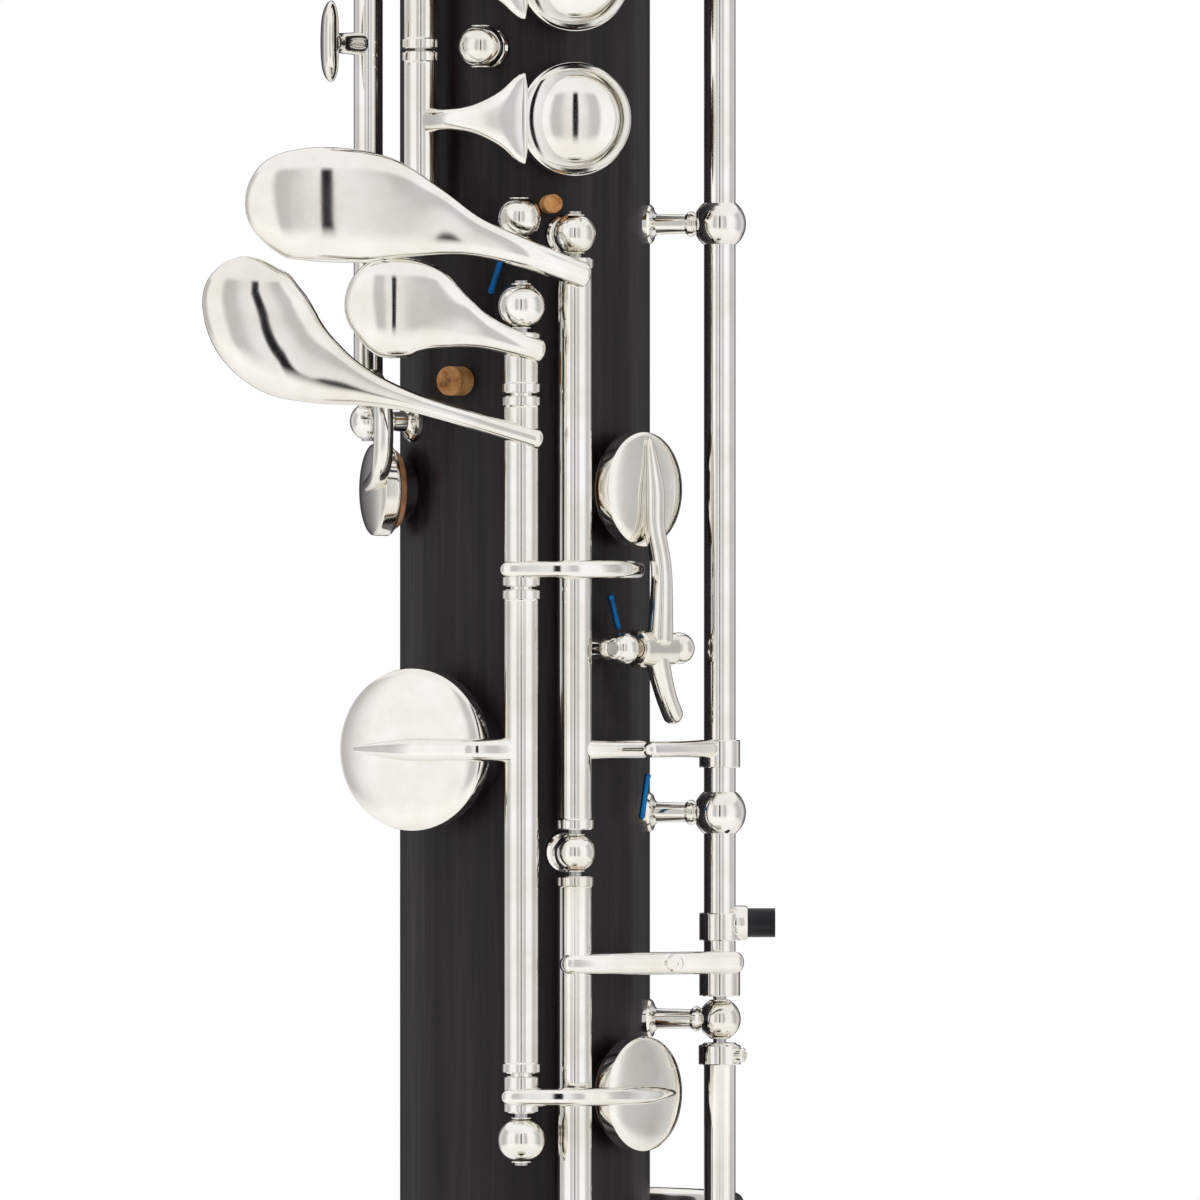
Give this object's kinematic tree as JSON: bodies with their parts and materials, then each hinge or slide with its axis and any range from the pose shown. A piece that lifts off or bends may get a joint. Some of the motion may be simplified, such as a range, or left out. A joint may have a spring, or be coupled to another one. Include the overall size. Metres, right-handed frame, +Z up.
{
  "type": "bass clarinet",
  "caption": "Bass clarinet with a dark wooden body, silver plated keywork, bent metal neck, upturned metal bell and a sliding floor peg.",
  "frame": {"origin": "middle of the underside of the floor peg's rubber tip, on the body's axis", "axes": "+Z up along the body's axis, -Y to the front where the bell opens, +X to the player's left"},
  "size_m": [0.136, 0.3482, 1.2595],
  "materials": {
    "grenadilla": "oiled, satin",
    "key_plate": "polished silver plate",
    "plated_metal": "polished silver plate",
    "ebonite": "polished hard rubber",
    "cane": "raw cane",
    "cork": "natural cork",
    "steel": "ground steel",
    "dark_steel": "blackened steel",
    "blued_steel": "heat blued",
    "rubber": "matt",
    "leather": "pad skin"
  },
  "bodies": {
    "root": {"mouthpiece": "ebonite", "reed": "cane", "ligature": "plated_metal", "ligature_screws": "plated_metal", "neck_tube": "plated_metal", "neck_cork": "cork", "upper_joint": "grenadilla", "lower_joint": "grenadilla", "joint_rings": "plated_metal", "tenon_corks": "cork", "bell": "plated_metal", "peg_holder": "plated_metal", "thumb_rest": "plated_metal", "strap_ring": "plated_metal", "lower_posts": "plated_metal", "upper_posts": "plated_metal", "hinge_rods": "steel", "needle_springs": "blued_steel", "cork_stops": "cork"},
    "peg": {"floor_peg": "steel", "peg_tip": "rubber"},
    "peg_screw": {"peg_screw": "plated_metal"},
    "low_e": {"low_e_key": "key_plate", "low_e_pad": "leather"},
    "e_flat_lever": {"e_flat_lever": "key_plate"},
    "e_flat_cup": {"e_flat_cup_key": "key_plate", "e_flat_pad": "leather"},
    "low_f": {"low_f_key": "key_plate"},
    "outer_rod": {"outer_rod_key": "key_plate", "adjusting_screw": "dark_steel"},
    "low_d": {"low_d_key": "key_plate", "low_d_pad": "leather"},
    "vent": {"vent_key": "key_plate", "vent_pad": "leather"},
    "low_c_sharp": {"low_c_sharp_key": "key_plate", "low_c_sharp_pad": "leather"},
    "right_ring": {"right_ring_key": "key_plate", "right_ring_pad": "leather"},
    "right_middle": {"right_middle_key": "key_plate", "right_middle_pad": "leather"},
    "right_index": {"right_index_key": "key_plate", "right_index_pad": "leather"},
    "side": {"side_key": "key_plate", "side_pad": "leather"},
    "left_ring": {"left_ring_key": "key_plate", "left_ring_pad": "leather"},
    "left_middle": {"left_middle_key": "key_plate", "left_middle_pad": "leather"},
    "left_index": {"left_index_key": "key_plate", "left_index_pad": "leather"},
    "throat_a": {"throat_a_key": "key_plate", "throat_a_pad": "leather"},
    "register": {"register_key": "key_plate", "register_pad": "leather"},
    "trill": {"trill_key": "key_plate", "trill_pad": "leather"},
    "left_little": {"left_little_lever": "key_plate"}
  },
  "joints": [
    {"name": "peg_slide", "type": "slide", "parent": "root", "child": "peg", "axis": [0, 0, -1], "range_m": [0, 0.06]},
    {"name": "peg_screw_turn", "type": "hinge", "parent": "root", "child": "peg_screw", "pos_m": [0, 0.012, 0.049], "axis": [0, 1, 0], "range_deg": [0, 360]},
    {"name": "low_e_turn", "type": "hinge", "parent": "root", "child": "low_e", "pos_m": [-0.00042, -0.0265, 0.56], "axis": [0, 0, -1], "range_deg": [0, 13], "stiffness_Nm_per_rad": 0.05, "springref_deg": -17.19},
    {"name": "e_flat_lever_turn", "type": "hinge", "parent": "root", "child": "e_flat_lever", "pos_m": [-0.00042, -0.0265, 0.56], "axis": [0, 0, -1], "range_deg": [0, 8], "stiffness_Nm_per_rad": 0.05, "springref_deg": -17.19},
    {"name": "e_flat_cup_turn", "type": "hinge", "parent": "root", "child": "e_flat_cup", "pos_m": [0.01909, -0.0166, 0.5527], "axis": [0.6561, 0.7547, 0], "range_deg": [0, 13.6]},
    {"name": "low_f_turn", "type": "hinge", "parent": "root", "child": "low_f", "pos_m": [0.00762, -0.0225, 0.56], "axis": [0, 0, -1], "range_deg": [0, 8], "stiffness_Nm_per_rad": 0.05, "springref_deg": -17.19},
    {"name": "outer_rod_turn", "type": "hinge", "parent": "root", "child": "outer_rod", "pos_m": [0.02954, -0.00628, 0.56], "axis": [0, 0, 1], "range_deg": [0, 7.2]},
    {"name": "low_d_turn", "type": "hinge", "parent": "root", "child": "low_d", "pos_m": [0.00762, -0.0225, 0.48], "axis": [0, 0, -1], "range_deg": [0, 12]},
    {"name": "vent_turn", "type": "hinge", "parent": "root", "child": "vent", "pos_m": [-0.00042, -0.0265, 0.4855], "axis": [0, 0, -1], "range_deg": [0, 6.4]},
    {"name": "low_c_sharp_turn", "type": "hinge", "parent": "root", "child": "low_c_sharp", "pos_m": [0.02954, -0.00628, 0.42], "axis": [0, 0, 1], "range_deg": [0, 9], "stiffness_Nm_per_rad": 0.05, "springref_deg": -17.19},
    {"name": "right_ring_turn", "type": "hinge", "parent": "root", "child": "right_ring", "pos_m": [-0.01555, -0.01854, 0.6322], "axis": [0, 0, 1], "range_deg": [0, 8], "stiffness_Nm_per_rad": 0.05, "springref_deg": -17.19},
    {"name": "right_middle_turn", "type": "hinge", "parent": "root", "child": "right_middle", "pos_m": [-0.01555, -0.01854, 0.6539], "axis": [0, 0, 1], "range_deg": [0, 8], "stiffness_Nm_per_rad": 0.05, "springref_deg": -17.19},
    {"name": "right_index_turn", "type": "hinge", "parent": "root", "child": "right_index", "pos_m": [-0.01555, -0.01854, 0.6756], "axis": [0, 0, 1], "range_deg": [0, 8], "stiffness_Nm_per_rad": 0.05, "springref_deg": -17.19},
    {"name": "side_turn", "type": "hinge", "parent": "root", "child": "side", "pos_m": [-0.02361, -0.01203, 0.644], "axis": [0, 0, 1], "range_deg": [0, 14], "stiffness_Nm_per_rad": 0.05, "springref_deg": -17.19},
    {"name": "left_ring_turn", "type": "hinge", "parent": "root", "child": "left_ring", "pos_m": [-0.01555, -0.01854, 0.869], "axis": [0, 0, 1], "range_deg": [0, 8], "stiffness_Nm_per_rad": 0.05, "springref_deg": -17.19},
    {"name": "left_middle_turn", "type": "hinge", "parent": "root", "child": "left_middle", "pos_m": [-0.01555, -0.01854, 0.907], "axis": [0, 0, 1], "range_deg": [0, 8], "stiffness_Nm_per_rad": 0.05, "springref_deg": -17.19},
    {"name": "left_index_turn", "type": "hinge", "parent": "root", "child": "left_index", "pos_m": [-0.01555, -0.01854, 0.945], "axis": [0, 0, 1], "range_deg": [0, 8], "stiffness_Nm_per_rad": 0.05, "springref_deg": -17.19},
    {"name": "throat_a_turn", "type": "hinge", "parent": "root", "child": "throat_a", "pos_m": [0.00439, -0.02492, 1.036], "axis": [0.9848, 0.1736, 0], "range_deg": [0, 8], "stiffness_Nm_per_rad": 0.05, "springref_deg": -17.19},
    {"name": "register_turn", "type": "hinge", "parent": "root", "child": "register", "pos_m": [0, 0.0253, 1.022], "axis": [-1, 0, 0], "range_deg": [0, 7], "stiffness_Nm_per_rad": 0.05, "springref_deg": -17.19},
    {"name": "trill_turn", "type": "hinge", "parent": "root", "child": "trill", "pos_m": [-0.02361, -0.01203, 0.99], "axis": [0, 0, 1], "range_deg": [0, 14], "stiffness_Nm_per_rad": 0.05, "springref_deg": -17.19},
    {"name": "left_little_turn", "type": "hinge", "parent": "root", "child": "left_little", "pos_m": [0.02384, -0.01268, 0.85], "axis": [0, 0, 1], "range_deg": [0, 8], "stiffness_Nm_per_rad": 0.05, "springref_deg": -17.19}
  ],
  "couplings": [
    {"joint": "e_flat_cup_turn", "follows": "e_flat_lever_turn", "ratio": 1.7},
    {"joint": "outer_rod_turn", "follows": "low_f_turn", "ratio": 0.9},
    {"joint": "low_d_turn", "follows": "low_f_turn", "ratio": 1.5},
    {"joint": "vent_turn", "follows": "low_f_turn", "ratio": 0.8}
  ]
}
